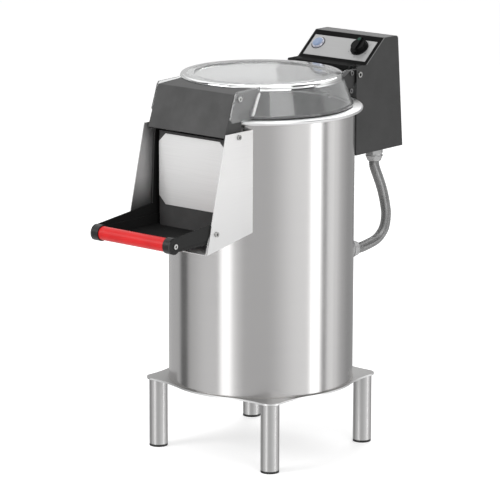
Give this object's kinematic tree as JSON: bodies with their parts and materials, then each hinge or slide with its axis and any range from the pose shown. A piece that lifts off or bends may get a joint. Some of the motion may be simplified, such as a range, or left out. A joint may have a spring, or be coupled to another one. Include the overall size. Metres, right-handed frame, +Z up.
{
  "type": "electric potato peeler",
  "caption": "Floor-standing electric potato peeler: stainless drum on legs with an abrasive disc, clear hinged lid, side chute with lifting door, and control box.",
  "frame": {"origin": "middle of the part's length and width on the floor, with the drum's axis 25.5 mm behind it", "axes": "+Z up, -Y towards the chute, +X to the right seen from the chute"},
  "size_m": [0.4346, 0.7951, 0.8704],
  "materials": {
    "stainless": "brushed stainless sheet",
    "polished_stainless": "finely polished stainless",
    "zinc_steel": "plated steel",
    "bearing_steel": "ground steel",
    "cast_iron": "rough casting",
    "cast_aluminium": "machined casting",
    "abrasive": "coarse bonded grit",
    "rubber": "soft moulded",
    "motor_paint": "satin paint",
    "black_plastic": "moulded, satin",
    "white_plastic": "moulded, satin",
    "red_plastic": "moulded, glossy",
    "blue_plastic": "moulded, glossy",
    "clear_plastic": "clear moulded polycarbonate",
    "grey_sheet": "matte dark grey paint",
    "grey_box": "matte dark grey paint",
    "black_metal": "satin black paint",
    "label_metal": "brushed label plate, unprinted but for dial marks",
    "gland_metal": "nickel-plated",
    "conduit_metal": "corrugated metal hose",
    "brass": "turned brass"
  },
  "bodies": {
    "machine": {"base_plate": "stainless", "leg_tubes": "polished_stainless", "leg_end_caps": "black_plastic", "drum_shell": "stainless", "top_flange": "polished_stainless", "abrasive_liner": "abrasive", "chamber_floor": "stainless", "bearing_housing": "cast_iron", "shaft_bearings": "bearing_steel", "shaft_seal": "rubber", "drive_belt": "rubber", "motor": "motor_paint", "motor_plate": "zinc_steel", "motor_capacitor": "white_plastic", "mouth_collar": "stainless", "right_cheek": "polished_stainless", "left_cheek": "polished_stainless", "chute_floor": "stainless", "cheek_screws": "zinc_steel", "door_hinge_pins": "zinc_steel", "lid_hinge_pin": "zinc_steel", "control_box": "grey_box", "box_rear_cover": "grey_box", "box_screws": "zinc_steel", "box_bracket": "stainless", "label_plate": "label_metal", "button_bezel": "white_plastic", "timer_unit": "white_plastic", "contactor": "white_plastic", "terminal_block": "white_plastic", "lid_switch": "black_plastic", "conduit_glands": "gland_metal", "conduit": "conduit_metal", "drain_outlet": "stainless", "water_inlet": "brass"},
    "lid": {"lid_dome": "clear_plastic", "lid_seal": "rubber", "hood": "grey_sheet", "hood_screws": "zinc_steel", "lid_hinge_arms": "black_metal", "lid_arm_screws": "zinc_steel"},
    "door": {"door_body": "black_plastic", "door_face_plate": "stainless", "door_gasket": "rubber", "handle_grip": "red_plastic", "handle_end_caps": "black_plastic", "handle_screws": "zinc_steel"},
    "peeling_disc": {"main_shaft": "bearing_steel", "disc_plate": "cast_aluminium", "disc_abrasive": "abrasive", "driven_pulley": "cast_iron"},
    "motor_rotor": {"motor_shaft": "bearing_steel", "motor_pulley": "cast_iron"},
    "start_button": {"start_button": "blue_plastic"},
    "timer_knob": {"timer_knob": "black_plastic", "timer_spindle": "bearing_steel"},
    "foot_front_right": {"levelling_foot_front_right": "zinc_steel"},
    "foot_front_left": {"levelling_foot_front_left": "zinc_steel"},
    "foot_rear_right": {"levelling_foot_rear_right": "zinc_steel"},
    "foot_rear_left": {"levelling_foot_rear_left": "zinc_steel"}
  },
  "joints": [
    {"name": "lid_hinge", "type": "hinge", "parent": "machine", "child": "lid", "pos_m": [0, 0.24, 0.7995], "axis": [-1, 0, 0], "range_deg": [0, 95]},
    {"name": "door_hinge", "type": "hinge", "parent": "machine", "child": "door", "pos_m": [0, -0.1845, 0.723], "axis": [-1, 0, 0], "range_deg": [0, 50]},
    {"name": "disc_spin", "type": "hinge", "parent": "machine", "child": "peeling_disc", "pos_m": [0, 0.0255, 0.53], "axis": [0, 0, 1], "continuous": true},
    {"name": "motor_spin", "type": "hinge", "parent": "machine", "child": "motor_rotor", "pos_m": [-0.122, 0.0255, 0.34], "axis": [0, 0, 1], "continuous": true},
    {"name": "start_button_press", "type": "slide", "parent": "machine", "child": "start_button", "axis": [0, 0.6438, -0.7652], "range_m": [0, 0.003], "stiffness_N_per_m": 800, "springref_m": -0.001},
    {"name": "timer_turn", "type": "hinge", "parent": "machine", "child": "timer_knob", "pos_m": [0.051, 0.29879, 0.845], "axis": [0, 0.6438, -0.7652], "range_deg": [0, 300]},
    {"name": "foot_front_right_screw", "type": "slide", "parent": "machine", "child": "foot_front_right", "axis": [0, 0, -1], "range_m": [0, 0.015]},
    {"name": "foot_front_left_screw", "type": "slide", "parent": "machine", "child": "foot_front_left", "axis": [0, 0, -1], "range_m": [0, 0.015]},
    {"name": "foot_rear_right_screw", "type": "slide", "parent": "machine", "child": "foot_rear_right", "axis": [0, 0, -1], "range_m": [0, 0.015]},
    {"name": "foot_rear_left_screw", "type": "slide", "parent": "machine", "child": "foot_rear_left", "axis": [0, 0, -1], "range_m": [0, 0.015]}
  ],
  "couplings": [
    {"joint": "motor_spin", "follows": "disc_spin", "ratio": 3.723}
  ]
}
